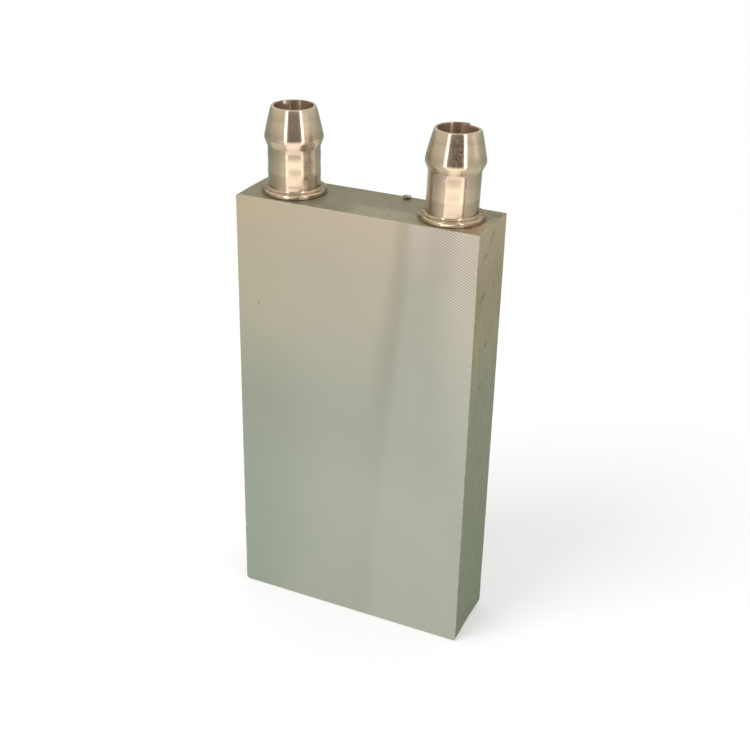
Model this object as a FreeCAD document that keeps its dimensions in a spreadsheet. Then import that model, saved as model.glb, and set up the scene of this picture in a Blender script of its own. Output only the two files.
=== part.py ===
import FreeCAD, Part
import os
import re
import Sketcher
from FreeCAD import Placement, Rotation, Vector

# Liquid cooling cold plate: a flat aluminium block with a milled chamber, a lid let into its back,
# and two hose barbs bonded into its top. Millimetres.
# The origin is the middle of the block's bottom. +X runs along the pair of barbs, +Y from the cold
# face to the back, and +Z up along the barbs.

doc = FreeCAD.newDocument("coldPlate")
sheet = doc.addObject("Spreadsheet::Sheet", "sizes")

drivingSizes = [
    ("blockWidth", 42.0, "block, along X"),
    ("blockDepth", 12.0, "block, from cold face to back"),
    ("blockHeight", 75.0, "block, along Z"),
    ("cornerRadius", 0.5, "raw outer edges, all but those of the cold face"),
    ("coldWall", 2.0, "wall between the cold face and the chamber"),
    ("sideWall", 2.8, "wall on each side of the chamber"),
    ("bottomWall", 4.0, "wall under the chamber"),
    ("portWall", 8.0, "wall over the chamber, which holds the barbs"),
    ("chamberCornerRadius", 2.0, "left by the cutter in the chamber's corners"),
    ("dividerThickness", 2.0, "wall between the two legs of the chamber"),
    ("turnHeight", 9.0, "open height at the bottom, where the flow turns"),
    ("headerHeight", 9.0, "open height under the barbs, above the ribs"),
    ("ribThickness", 1.2, "each rib on the cold wall"),
    ("ribsPerLeg", 3, "ribs in each leg"),
    ("coverThickness", 1.5, "lid, let in flush with the back"),
    ("coverLedge", 1.2, "ledge round the chamber that carries the lid"),
    ("brazeGap", 0.2, "filler metal between the lid and the block"),
    ("portPitch", 27.5, "between the two barbs"),
    ("portOffset", 0.3, "of the pair from the middle of the block, along X"),
    ("boreRadius", 3.15, "coolant bore through each barb"),
    ("shankRadius", 3.7, "barb's shank in the block"),
    ("shankLength", 6.5, "shank, below the block's top"),
    ("sealantFilm", 0.15, "bond line round the shank"),
    ("sealantSeat", 0.15, "bond line under the flange"),
    ("sealantSqueeze", 0.1, "bond line beyond the flange"),
    ("flangeRadius", 5.32, "barb's flange"),
    ("flangeThickness", 0.9, "barb's flange"),
    ("flangeEdgeRadius", 0.3, "upper edge of the flange"),
    ("neckRadius", 4.2, "seat for the hose"),
    ("neckLength", 6.55, "flange to the back of the barb"),
    ("neckFillet", 0.6, "neck into flange"),
    ("backChamfer", 1.1, "height of the slope behind the barb"),
    ("barbRadius", 4.73, "barb at its widest"),
    ("barbLand", 0.5, "short cylinder at the widest"),
    ("coneLength", 4.8, "lead-in cone"),
    ("tipRadius", 3.6, "cone at the tip"),
    ("rimRound", 0.2, "outer edge of the tip"),
    ("rimChamfer", 0.12, "inner edge of the tip"),
    ("beadRadius", 0.8, "drop of filler metal, at its foot"),
    ("beadHeight", 0.6, "drop of filler metal"),
    ("beadOffset", 4.3, "drop from the middle of the block, along X"),
    ("beadInset", 1.0, "drop's centre from the back"),
]

for row, (alias, value, note) in enumerate(drivingSizes, 1):
    sheet.set(f"A{row}", alias)
    sheet.set(f"B{row}", str(value))
    sheet.set(f"C{row}", note)
    sheet.setAlias(f"B{row}", alias)
doc.recompute()

aliases = {alias for alias, value, note in drivingSizes}

# Places that several pieces share, written in the sheet's own words.
chamberSide = "(blockWidth / 2 - sideWall)"
chamberTop = "(blockHeight - portWall)"
dividerSide = "(dividerThickness / 2)"
dividerEnd = "(bottomWall + turnHeight)"
legWidth = "(blockWidth / 2 - sideWall - dividerThickness / 2)"
ribPitch = f"(({legWidth} + ribThickness) / (ribsPerLeg + 1))"
recessSide = "(blockWidth / 2 - sideWall + coverLedge)"
recessBottom = "(bottomWall - coverLedge)"
recessTop = "(blockHeight - portWall + coverLedge)"
recessCorner = "(chamberCornerRadius + coverLedge)"
portRadius = "(shankRadius + sealantFilm)"
flangeSeat = "(shankLength + sealantSeat)"
flangeTop = f"({flangeSeat} + flangeThickness)"
neckTop = f"({flangeTop} + neckLength)"
barbStart = f"({neckTop} + backChamfer)"
barbEnd = f"({barbStart} + barbLand)"
tipHeight = f"({barbEnd} + coneLength)"
beadSphere = "((beadRadius ^ 2 + beadHeight ^ 2) / (2 * beadHeight))"


def cell(alias):
    return sheet.get(alias)


def inSheetWords(formula):
    return re.sub(r"[A-Za-z]\w*", lambda word: f"sizes.{word[0]}" if word[0] in aliases else word[0], formula)


def tie(item, setting, formula):
    item.setExpression(setting, inSheetWords(formula))


def startBody(name):
    body = doc.addObject("PartDesign::Body", name)
    body.Label = name
    return body


def sketchOn(body, role, name, height=None):
    sketch = body.newObject("Sketcher::SketchObject", name)
    plane = [feature for feature in body.Origin.OriginFeatures if feature.Role == role][0]
    sketch.AttachmentSupport = (plane, [""])
    sketch.MapMode = "FlatFace"
    if height:
        tie(sketch, "AttachmentOffset.Base.z", height)
    return sketch


def placePoint(sketch, geometry, end, across, up):
    # Holds one point of the sketch at a place given by two formulas.
    for kind, formula in (("DistanceX", across), ("DistanceY", up)):
        constraint = sketch.addConstraint(Sketcher.Constraint(kind, -1, 1, geometry, end, 1.0))
        tie(sketch, f"Constraints[{constraint}]", formula)


def outline(sketch, corners):
    # A closed outline of straight lines through corners given as pairs of formulas.
    first = sketch.GeometryCount
    count = len(corners)
    spread = [Vector(10 + number, number * number, 0) for number in range(count)]
    for number in range(count):
        sketch.addGeometry(Part.LineSegment(spread[number], spread[(number + 1) % count]))
    for number, (across, up) in enumerate(corners):
        following = (number + 1) % count
        sketch.addConstraint(Sketcher.Constraint("Coincident", first + number, 2, first + following, 1))
        placePoint(sketch, first + number, 1, across, up)


def rectangle(sketch, left, right, bottom, top):
    outline(sketch, [(left, bottom), (right, bottom), (right, top), (left, top)])


def pad(body, sketch, name, length, reverse=False):
    feature = body.newObject("PartDesign::Pad", name)
    feature.Profile = sketch
    feature.Reversed = reverse
    tie(feature, "Length", length)
    doc.recompute()
    return feature


def pocket(body, sketch, name, length, reverse=False):
    before = body.Shape.Volume
    feature = body.newObject("PartDesign::Pocket", name)
    feature.Profile = sketch
    feature.Reversed = reverse
    tie(feature, "Length", length)
    doc.recompute()
    if not feature.Shape.Volume < before - 1e-6:
        raise RuntimeError(f"{name} cuts nothing")
    return feature


def revolve(body, sketch, name):
    feature = body.newObject("PartDesign::Revolution", name)
    feature.Profile = sketch
    feature.ReferenceAxis = (sketch, ["V_Axis"])
    feature.Angle = 360
    doc.recompute()
    return feature


def roundEdges(body, base, name, radius, wanted):
    # Rounds the edges of the base feature that the test picks.
    edges = [f"Edge{number}" for number, edge in enumerate(base.Shape.Edges, 1) if wanted(edge)]
    if not edges:
        raise RuntimeError(f"{name} finds no edge")
    feature = body.newObject("PartDesign::Fillet", name)
    feature.Base = (base, edges)
    tie(feature, "Radius", radius)
    doc.recompute()
    return feature


def near(one, other):
    return abs(one - other) < 1e-4


def runsAlong(edge, axis):
    # True for a straight edge along +axis or -axis.
    if len(edge.Vertexes) != 2 or not isinstance(edge.Curve, (Part.Line, Part.LineSegment)):
        return False
    step = edge.Vertexes[1].Point - edge.Vertexes[0].Point
    return near(abs(step.dot(axis)), step.Length)


def ringAt(edge, radius, height):
    # True for a full circle round the Z axis.
    if not isinstance(edge.Curve, Part.Circle):
        return False
    return near(edge.Curve.Radius, radius) and near(edge.Curve.Center.z, height)


def makeTray():
    body = startBody("base_tray")
    backPlane = "-blockDepth / 2"  # the XZ plane's own normal is -Y
    alongY = Vector(0, 1, 0)

    blockSketch = sketchOn(body, "XY_Plane", "blockSketch")
    rectangle(blockSketch, "-blockWidth / 2", "blockWidth / 2", "-blockDepth / 2", "blockDepth / 2")
    block = pad(body, blockSketch, "block", "blockHeight")

    coldFaceY = -cell("blockDepth") / 2
    roundEdges(body, block, "rawEdges", "cornerRadius",
               lambda edge: not all(near(vertex.Y, coldFaceY) for vertex in edge.Vertexes))

    recessSketch = sketchOn(body, "XZ_Plane", "recessSketch", backPlane)
    rectangle(recessSketch, f"-{recessSide}", recessSide, recessBottom, recessTop)
    recess = pocket(body, recessSketch, "coverRecess", "coverThickness", reverse=True)
    recessFloorY = cell("blockDepth") / 2 - cell("coverThickness")
    recessHalf = cell("blockWidth") / 2 - cell("sideWall") + cell("coverLedge")
    roundEdges(body, recess, "recessCorners", recessCorner,
               lambda edge: runsAlong(edge, alongY) and near(abs(edge.CenterOfMass.x), recessHalf))

    # One outline for both legs and the turn; the divider stands between the legs.
    chamberSketch = sketchOn(body, "XZ_Plane", "chamberSketch", backPlane)
    outline(chamberSketch, [
        (f"-{chamberSide}", "bottomWall"), (chamberSide, "bottomWall"), (chamberSide, chamberTop),
        (dividerSide, chamberTop), (dividerSide, dividerEnd),
        (f"-{dividerSide}", dividerEnd), (f"-{dividerSide}", chamberTop), (f"-{chamberSide}", chamberTop)])
    chamber = pocket(body, chamberSketch, "chamber", "blockDepth - coldWall", reverse=True)
    dividerEndZ = cell("bottomWall") + cell("turnHeight")
    roundEdges(body, chamber, "chamberCorners", "chamberCornerRadius",
               lambda edge: runsAlong(edge, alongY) and edge.BoundBox.YMin < recessFloorY - 1e-4
               and near(edge.BoundBox.YMax, recessFloorY) and not near(edge.CenterOfMass.z, dividerEndZ))

    # Ribs stand on the cold wall and meet the lid.
    ribSketches = []
    ribPads = []
    for side, sign in (("left", "-"), ("right", "")):
        ribSketch = sketchOn(body, "XZ_Plane", f"{side}RibSketch", "blockDepth / 2 - coldWall")
        inner = f"{sign}({dividerSide} + {ribPitch} - ribThickness)"
        outer = f"{sign}({dividerSide} + {ribPitch})"
        rectangle(ribSketch, inner, outer, dividerEnd, f"{chamberTop} - headerHeight")
        ribSketches.append(ribSketch)
        ribPads.append(pad(body, ribSketch, f"{side}Rib", "blockDepth - coldWall - coverThickness",
                           reverse=True))
        pattern = body.newObject("PartDesign::LinearPattern", f"{side}Ribs")
        pattern.Originals = [ribPads[-1]]
        pattern.Direction = (ribSketch, ["H_Axis"])
        pattern.Reversed = sign == "-"
        tie(pattern, "Length", f"{ribPitch} * (ribsPerLeg - 1)")
        tie(pattern, "Occurrences", "ribsPerLeg")
        body.Tip = pattern
        doc.recompute()

    portSketch = sketchOn(body, "XY_Plane", "portSketch", "blockHeight")
    for number, sign in enumerate(("-", "+")):
        portSketch.addGeometry(Part.Circle(Vector(20 * number, 0, 0), Vector(0, 0, 1), 1))
        radius = portSketch.addConstraint(Sketcher.Constraint("Radius", number, 1.0))
        tie(portSketch, f"Constraints[{radius}]", portRadius)
        placePoint(portSketch, number, 3, f"portOffset {sign} portPitch / 2", "0")
    pocket(body, portSketch, "ports", "portWall + chamberCornerRadius")
    return body


def makeCover():
    body = startBody("cover_plate")
    sketch = sketchOn(body, "XZ_Plane", "coverSketch", "-blockDepth / 2")
    rectangle(sketch, f"-{recessSide} + brazeGap", f"{recessSide} - brazeGap",
              f"{recessBottom} + brazeGap", f"{recessTop} - brazeGap")
    plate = pad(body, sketch, "plate", "coverThickness")
    roundEdges(body, plate, "corners", f"{recessCorner} - brazeGap",
               lambda edge: runsAlong(edge, Vector(0, 1, 0)))
    return body


def makeBrazeSeam():
    body = startBody("braze_seam")
    outerSketch = sketchOn(body, "XZ_Plane", "outerSketch", "-blockDepth / 2")
    rectangle(outerSketch, f"-{recessSide}", recessSide, recessBottom, recessTop)
    pad(body, outerSketch, "filler", "coverThickness")
    innerSketch = sketchOn(body, "XZ_Plane", "innerSketch", "-blockDepth / 2")
    rectangle(innerSketch, f"-{recessSide} + brazeGap", f"{recessSide} - brazeGap",
              f"{recessBottom} + brazeGap", f"{recessTop} - brazeGap")
    ring = pocket(body, innerSketch, "coverHole", "coverThickness", reverse=True)
    outerHalf = ring.Shape.BoundBox.XMax
    inner = roundEdges(body, ring, "innerCorners", f"{recessCorner} - brazeGap",
                       lambda edge: runsAlong(edge, Vector(0, 1, 0))
                       and not near(abs(edge.CenterOfMass.x), outerHalf))
    roundEdges(body, inner, "outerCorners", recessCorner,
               lambda edge: runsAlong(edge, Vector(0, 1, 0)) and near(abs(edge.CenterOfMass.x), outerHalf))
    return body


def makeBarb(name):
    body = startBody(name)
    sketch = sketchOn(body, "XZ_Plane", f"{name}Profile")
    outline(sketch, [
        ("boreRadius", "0"), ("shankRadius", "0"), ("shankRadius", flangeSeat),
        ("flangeRadius", flangeSeat), ("flangeRadius", flangeTop),
        ("neckRadius", flangeTop), ("neckRadius", neckTop),
        ("barbRadius", barbStart), ("barbRadius", barbEnd),
        ("tipRadius", tipHeight), ("boreRadius + rimChamfer", tipHeight),
        ("boreRadius", f"{tipHeight} - rimChamfer")])
    turned = revolve(body, sketch, f"{name}Turned")
    seatZ = cell("shankLength") + cell("sealantSeat")
    flangeTopZ = seatZ + cell("flangeThickness")
    tipZ = turned.Shape.BoundBox.ZMax
    blend = roundEdges(body, turned, f"{name}NeckFillet", "neckFillet",
                       lambda edge: ringAt(edge, cell("neckRadius"), flangeTopZ))
    flange = roundEdges(body, blend, f"{name}FlangeEdge", "flangeEdgeRadius",
                        lambda edge: ringAt(edge, cell("flangeRadius"), flangeTopZ))
    roundEdges(body, flange, f"{name}Rim", "rimRound",
               lambda edge: ringAt(edge, cell("tipRadius"), tipZ))
    return body


def makeSealant(name):
    body = startBody(name)
    sketch = sketchOn(body, "XZ_Plane", f"{name}Profile")
    outline(sketch, [
        ("shankRadius", "0"), (portRadius, "0"), (portRadius, "shankLength"),
        ("flangeRadius + sealantSqueeze", "shankLength"),
        ("flangeRadius + sealantSqueeze", flangeSeat), ("shankRadius", flangeSeat)])
    revolve(body, sketch, f"{name}Ring")
    return body


def makeBead():
    # A drop that stands on the top face: a sphere cut off level with its foot.
    bead = doc.addObject("Part::Sphere", "braze_bead")
    bead.Label = "braze_bead"
    tie(bead, "Radius", beadSphere)
    tie(bead, "Angle1", f"asin(({beadSphere} - beadHeight) / {beadSphere})")
    tie(bead, "Placement.Base.x", "beadOffset")
    tie(bead, "Placement.Base.y", "blockDepth / 2 - beadInset")
    tie(bead, "Placement.Base.z", f"blockHeight - {beadSphere} + beadHeight")
    return bead


def standAtPort(body, sign):
    # A barb and its bond line share the axis and the foot of their port.
    body.Placement = Placement(Vector(0, 0, 0), Rotation())
    tie(body, "Placement.Base.x", f"portOffset {sign} portPitch / 2")
    tie(body, "Placement.Base.z", "blockHeight - shankLength")


pieces = [makeTray(), makeCover(), makeBrazeSeam()]
for port, sign in (("inlet", "-"), ("outlet", "+")):
    for piece in (makeBarb(f"{port}_barb"), makeSealant(f"{port}_sealant")):
        standAtPort(piece, sign)
        pieces.append(piece)
pieces.append(makeBead())
doc.recompute()

for item in doc.Objects:
    if "Invalid" in item.State or "Error" in item.State:
        raise RuntimeError(f"{item.Name} failed: {item.State}")
for piece in pieces:
    if piece.Shape.isNull() or not piece.Shape.isValid() or len(piece.Shape.Solids) != 1:
        raise RuntimeError(f"{piece.Label} is not one sound solid")

os.makedirs("parts", exist_ok=True)
for piece in pieces:
    piece.Shape.exportStep(os.path.join("parts", f"{piece.Label}.step"))
    box = piece.Shape.BoundBox
    print(f"{piece.Label}: {piece.Shape.Volume:.2f} mm3, X {box.XMin:.2f} to {box.XMax:.2f},"
          f" Y {box.YMin:.2f} to {box.YMax:.2f}, Z {box.ZMin:.2f} to {box.ZMax:.2f}")
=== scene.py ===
import math

import bpy
import bmesh
from mathutils import Matrix, Vector, noise


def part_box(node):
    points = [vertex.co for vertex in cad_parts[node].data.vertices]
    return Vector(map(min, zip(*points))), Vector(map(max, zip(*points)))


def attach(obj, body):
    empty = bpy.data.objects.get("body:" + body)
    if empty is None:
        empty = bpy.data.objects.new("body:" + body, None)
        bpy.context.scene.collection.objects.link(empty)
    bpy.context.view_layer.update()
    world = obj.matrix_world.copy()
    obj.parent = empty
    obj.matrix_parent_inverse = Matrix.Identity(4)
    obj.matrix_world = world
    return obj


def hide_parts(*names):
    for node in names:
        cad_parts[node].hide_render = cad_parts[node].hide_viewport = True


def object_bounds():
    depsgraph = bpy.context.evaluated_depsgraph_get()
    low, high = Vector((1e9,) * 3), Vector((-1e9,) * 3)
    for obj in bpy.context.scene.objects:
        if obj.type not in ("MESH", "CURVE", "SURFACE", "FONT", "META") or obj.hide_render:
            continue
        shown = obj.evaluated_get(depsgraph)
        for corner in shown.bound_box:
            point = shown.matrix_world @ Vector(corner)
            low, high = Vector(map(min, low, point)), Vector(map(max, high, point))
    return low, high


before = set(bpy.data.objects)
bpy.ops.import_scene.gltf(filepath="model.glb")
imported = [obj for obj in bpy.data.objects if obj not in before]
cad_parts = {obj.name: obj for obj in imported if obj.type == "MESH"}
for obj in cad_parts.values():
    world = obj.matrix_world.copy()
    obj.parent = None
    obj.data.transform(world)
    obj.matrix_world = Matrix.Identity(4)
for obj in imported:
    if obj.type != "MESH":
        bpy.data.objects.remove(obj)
cadLow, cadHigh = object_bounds()
print("frame loaded:", ", ".join(sorted(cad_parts)))

mm = 0.001
scene = bpy.context.scene
centre = (cadLow + cadHigh) / 2


# small helpers

def colour(red, green, blue):
    def linear(level):
        level = level / 255
        return level / 12.92 if level <= 0.04045 else ((level + 0.055) / 1.055) ** 2.4
    return (linear(red), linear(green), linear(blue), 1.0)


class Wire:
    # what a shader node gives, with ordinary arithmetic for single values

    def __init__(self, tree, socket):
        self.tree, self.socket = tree, socket

    def __add__(self, other):
        return maths("ADD", self, other)

    def __sub__(self, other):
        return maths("SUBTRACT", self, other)

    def __rsub__(self, other):
        return maths("SUBTRACT", other, self)

    def __mul__(self, other):
        return maths("MULTIPLY", self, other)

    def __truediv__(self, other):
        return maths("DIVIDE", self, other)

    __radd__, __rmul__ = __add__, __mul__


class Outputs:
    # a node's outputs, each given as a wire by its name or number

    def __init__(self, tree, sockets):
        self.tree, self.sockets = tree, sockets

    def __getitem__(self, key):
        return Wire(self.tree, self.sockets[key])


def put(tree, kind, inputs=None, **settings):
    # a new node, whose inputs are wires or plain values
    node = tree.nodes.new("ShaderNode" + kind)
    for key, value in settings.items():
        setattr(node, key, value)
    for key, value in (inputs or {}).items():
        if isinstance(value, Wire):
            tree.links.new(value.socket, node.inputs[key])
        else:
            node.inputs[key].default_value = value
    return Outputs(tree, node.outputs)


def join(kind, inputs, **settings):
    # a new node in the tree of the wires that feed it
    tree = next(value.tree for value in inputs.values() if isinstance(value, Wire))
    return put(tree, kind, inputs, **settings)


def maths(operation, *values, clamp=False):
    return join("Math", dict(enumerate(values)), operation=operation, use_clamp=clamp)[0]


def vectorMaths(operation, *values):
    kind = "Value" if operation in ("LENGTH", "DISTANCE", "DOT_PRODUCT") else "Vector"
    return join("VectorMath", dict(enumerate(values)), operation=operation)[kind]


def spread(pattern, amount, middle=1.0):
    # a value that a 0 to 1 pattern moves by the amount, half to each side of the middle
    return maths("MULTIPLY_ADD", pattern, amount, middle - amount / 2)


def slide(value, start, end, low=0.0, high=1.0):
    # smooth change from low to high while value goes from start to end
    inputs = {"Value": value, "From Min": start, "From Max": end, "To Min": low, "To Max": high}
    return join("MapRange", inputs, interpolation_type="SMOOTHSTEP")["Result"]


def fall(value, start, end):
    return slide(value, start, end, 1.0, 0.0)


def mixColour(factor, first, second, mode="MIX"):
    # each side is a wire, or a tone of red, green and blue from 0 to 255
    first, second = (side if isinstance(side, Wire) else colour(*side) for side in (first, second))
    return join("Mix", {0: factor, 6: first, 7: second}, data_type="RGBA", blend_type=mode)[2]


def shade(tone, light):
    # a colour made lighter or darker by a value
    return mixColour(1.0, tone, join("CombineColor", {0: light, 1: light, 2: light})[0], "MULTIPLY")


def layOver(tone, mask, coat):
    # so much of a second tone over the first where the mask says so, the coat being (share, tone)
    return mixColour(mask * coat[0], tone, coat[1])


def split(vector):
    return join("SeparateXYZ", {0: vector})


def pointLabel(tree, name, output="Fac"):
    # what the mesh's points say under that name
    return put(tree, "Attribute", attribute_name=name)[output]


def cloud(vector, scale, detail=3.0, rough=0.55, stretch=None):
    # noise from 0 to 1, scale in cells per metre
    if stretch is not None:
        vector = vectorMaths("MULTIPLY", vector, stretch)
    return join("TexNoise", {"Vector": vector, "Scale": scale, "Detail": detail, "Roughness": rough})["Fac"]


def newGroup(name, inputs):
    # inputs are kinds of socket, or numbers that are a float socket's usual value
    group = bpy.data.node_groups.new(name, "ShaderNodeTree")
    for label, given in inputs.items():
        kind = given if isinstance(given, str) else "Float"
        socket = group.interface.new_socket(label, in_out="INPUT", socket_type="NodeSocket" + kind)
        if kind == "Float":
            socket.default_value = given
    return Outputs(group, group.nodes.new("NodeGroupInput").outputs)


def closeGroup(results, kind="Float"):
    group = next(iter(results.values())).tree
    for label in results:
        group.interface.new_socket(label, in_out="OUTPUT", socket_type="NodeSocket" + kind)
    out = group.nodes.new("NodeGroupOutput").inputs
    for label, value in results.items():
        group.links.new(value.socket, out[label])
    return group


def place(group, inputs):
    return join("Group", inputs, node_tree=group)


def markMask(point, start, end, width):
    # where one straight mark lies, with all lengths in metres
    return place(scratch, {"Vector": point, "Start": start, "End": end, "Width": width})["Mask"]


def newMaterial(name):
    # a material, its node tree, and the shaded point of the object in metres
    material = bpy.data.materials.new(name)
    material.use_nodes = True
    tree = material.node_tree
    tree.nodes.clear()
    return material, tree, put(tree, "TexCoord")["Object"]


def show(tree, shader, output="OutputMaterial"):
    tree.links.new(shader.socket, tree.nodes.new("ShaderNode" + output).inputs["Surface"])


def showMetal(tree, tone, roughness, height, bumpDistance, more=None):
    bump = join("Bump", {"Height": height, "Distance": bumpDistance})[0]
    show(tree, join("BsdfPrincipled", {
        "Base Color": tone, "Roughness": roughness, "Metallic": 1.0, "Normal": bump, **(more or {})})[0])


def addObject(name, data):
    item = bpy.data.objects.new(name, data)
    scene.collection.objects.link(item)
    return item


def aim(item, direction):
    item.rotation_mode = "QUATERNION"
    item.rotation_quaternion = direction.to_track_quat("-Z", "Y")


def tubeFaces(rings, size, closed=True):
    # faces between rings of so many points each, the last ring joined to the first if closed
    faces = []
    for k in range(rings if closed else rings - 1):
        here, ahead = k * size, (k + 1) % rings * size
        for j in range(size):
            side = (j + 1) % size
            faces.append((here + j, here + side, ahead + side, ahead + j))
    return faces


def newPiece(name, vertices, faces, materials):
    mesh = bpy.data.meshes.new(name)
    mesh.from_pydata(vertices, [], faces)
    mesh.validate()
    for material in materials:
        mesh.materials.append(material)
    return addObject(name, mesh)


def smoothPiece(piece, angle):
    mesh = piece.data
    mesh.polygons.foreach_set("use_smooth", [True] * len(mesh.polygons))
    mesh.set_sharp_from_angle(angle=math.radians(angle))


def rework(mesh, change):
    work = bmesh.new()
    work.from_mesh(mesh)
    change(work)
    work.to_mesh(mesh)
    work.free()


def faceOutward(work):
    bmesh.ops.recalc_face_normals(work, faces=work.faces)


def newSolid(name, vertices, faces, material, angle):
    # a closed piece with its faces outward, sharp where it turns by more than the angle
    piece = newPiece(name, vertices, faces, [material])
    rework(piece.data, faceOutward)
    smoothPiece(piece, angle)
    return piece


def labelPoints(piece, label, values):
    # one number a point, for its material
    piece.data.attributes.new(label, "FLOAT", "POINT").data.foreach_set("value", values)


def fade(value, start, end):
    share = min(1.0, max(0.0, (value - start) / (end - start)))
    return share * share * (3 - 2 * share)


def ripple(point, wave, octaves=3):
    # about -1 to 1, for a point in millimetres
    return noise.fractal(point / wave, 1.0, 2.0, octaves)


# camera

cameraView = {
    "azimuth": 24.6053, "elevation": 26.232, "roll": 1.3257, "distance": 0.210467,
    "aimOffset": (0.001363, 0.000665, 0.000075), "lens": 59.604, "sensor": 36.0,
}


def makeCamera(view):
    azimuth, elevation = math.radians(view["azimuth"]), math.radians(view["elevation"])
    back = Vector((math.sin(azimuth) * math.cos(elevation),
                   -math.cos(azimuth) * math.cos(elevation), math.sin(elevation)))
    lens = bpy.data.cameras.new("studioCamera")
    lens.lens, lens.sensor_width = view["lens"], view["sensor"]
    lens.clip_start, lens.clip_end = 0.01, 20.0
    camera = addObject("studioCamera", lens)
    camera.location = centre + Vector(view["aimOffset"]) + back * view["distance"]
    turn = (-back).to_track_quat("-Z", "Y").to_matrix()
    roll = Matrix.Rotation(math.radians(view["roll"]), 3, "Z")
    camera.rotation_mode = "QUATERNION"
    camera.rotation_quaternion = (turn @ roll).to_quaternion()
    scene.camera = camera


makeCamera(cameraView)
print("camera placed")

# shared node groups

def groupToneColumn():
    # four paint tones up a face, blended softly
    given = newGroup("toneColumn", {
        "Up": 0.0, "Top": "Color", "Upper": "Color", "Middle": "Color", "Bottom": "Color",
        "Upper At": 0.8, "Middle At": 0.5, "Bottom At": 0.05})
    up, upperAt, middleAt = given["Up"], given["Upper At"], given["Middle At"]
    tone = mixColour(slide(up, given["Bottom At"], middleAt), given["Bottom"], given["Middle"])
    tone = mixColour(slide(up, middleAt, upperAt), tone, given["Upper"])
    return closeGroup({"Color": mixColour(slide(up, upperAt, 1.0), tone, given["Top"])}, "Color")


def groupEdgeWear():
    # rubbed edges of a boxy piece, from the distance to its nearest edge
    given = newGroup("edgeWear", {"Vector": "Vector", "Low": "Vector", "High": "Vector", "Width": 0.0004})
    point = given["Vector"]
    above = vectorMaths("SUBTRACT", point, given["Low"])
    below = vectorMaths("SUBTRACT", given["High"], point)
    inside = split(vectorMaths("MINIMUM", above, below))
    lower, upper = (maths(which, inside[0], inside[1]) for which in ("MINIMUM", "MAXIMUM"))
    second = maths("MAXIMUM", lower, maths("MINIMUM", upper, inside[2]))
    reach = given["Width"] * slide(cloud(point, 1600.0, 4.0, 0.6), 0.35, 0.75, 0.25, 1.6)
    return closeGroup({"Mask": fall(second / reach, 0.0, 1.0), "Distance": second})


def groupMillArcs():
    # curved feed lines of a fly cutter that travels up the face
    given = newGroup("millArcs", {"Vector": "Vector", "Middle": 0.0, "Radius": 0.025, "Pitch": 0.0005})
    point = given["Vector"]
    axes = split(point)
    across = axes[0] - given["Middle"]
    inside = given["Radius"] * given["Radius"] - across * across
    sag = maths("SQRT", maths("MAXIMUM", inside, 1e-8))
    turns = (axes[2] - sag) / given["Pitch"] + cloud(point, 420.0, 2.0) * 0.5
    wave = maths("SINE", turns * (2 * math.pi))
    return closeGroup({"Line": wave * 0.5 + 0.5, "Height": wave})


def groupRawSkin():
    # dull, slightly pitted skin of sawn and blasted aluminium
    given = newGroup("rawSkin", {"Vector": "Vector", "Scale": 900.0, "Pit Scale": 700.0})
    point, scale = given["Vector"], given["Scale"]
    broad, fine = cloud(point, scale * 0.22), cloud(point, scale, 5.0, 0.62)
    cells = join("TexVoronoi", {"Vector": point, "Scale": given["Pit Scale"], "Randomness": 1.0})
    reach = slide(join("SeparateColor", {0: cells["Color"]})[0], 0.86, 1.0, 0.0, 0.34)
    pits = slide(maths("SUBTRACT", reach, cells["Distance"], clamp=True), 0.0, 0.1)
    tone = fine * 0.45 + broad * 0.55
    return closeGroup({"Tone": tone, "Height": tone - pits * 0.6, "Pits": pits})


def groupScratch():
    # one straight mark between two points, soft at its sides and ragged along its length
    given = newGroup("scratch", {"Vector": "Vector", "Start": "Vector", "End": "Vector", "Width": 0.0002})
    point = given["Vector"]
    run = vectorMaths("SUBTRACT", given["End"], given["Start"])
    away = vectorMaths("SUBTRACT", point, given["Start"])
    along, whole = (vectorMaths("DOT_PRODUCT", other, run) for other in (away, run))
    share = maths("DIVIDE", along, whole, clamp=True)
    nearest = join("VectorMath", {0: run, "Scale": share}, operation="SCALE")["Vector"]
    width = given["Width"] * (cloud(point, 2600.0, 2.0) * 1.2 + 0.4)
    return closeGroup({"Mask": fall(vectorMaths("DISTANCE", away, nearest) / width, 0.35, 1.0)})


def groupTurnMarks():
    # fine rings that a lathe tool leaves round an upright axis
    given = newGroup("turnMarks", {"Vector": "Vector", "Scale": 6000.0, "Band Scale": 400.0})
    point = given["Vector"]
    upright = cloud(point, 300.0, 2.0) * 0.0012 + split(point)[2]

    def lines(scale, detail):
        inputs = {"W": upright, "Scale": given[scale], "Detail": detail}
        return join("TexNoise", inputs, noise_dimensions="1D")["Fac"]

    rings, bands = lines("Scale", 3.0), lines("Band Scale", 2.0)
    return closeGroup({"Tone": cloud(point, 500.0) * 0.4 + rings * 0.6, "Bands": slide(bands, 0.3, 0.7),
                       "Height": rings})


toneColumn, edgeWear, millArcs = groupToneColumn(), groupEdgeWear(), groupMillArcs()
rawSkin, scratch, turnMarks = groupRawSkin(), groupScratch(), groupTurnMarks()
print("node groups built")

# the block: machined cold face, raw sides

blockLow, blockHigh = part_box("base_tray")
blockSize = blockHigh - blockLow

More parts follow.
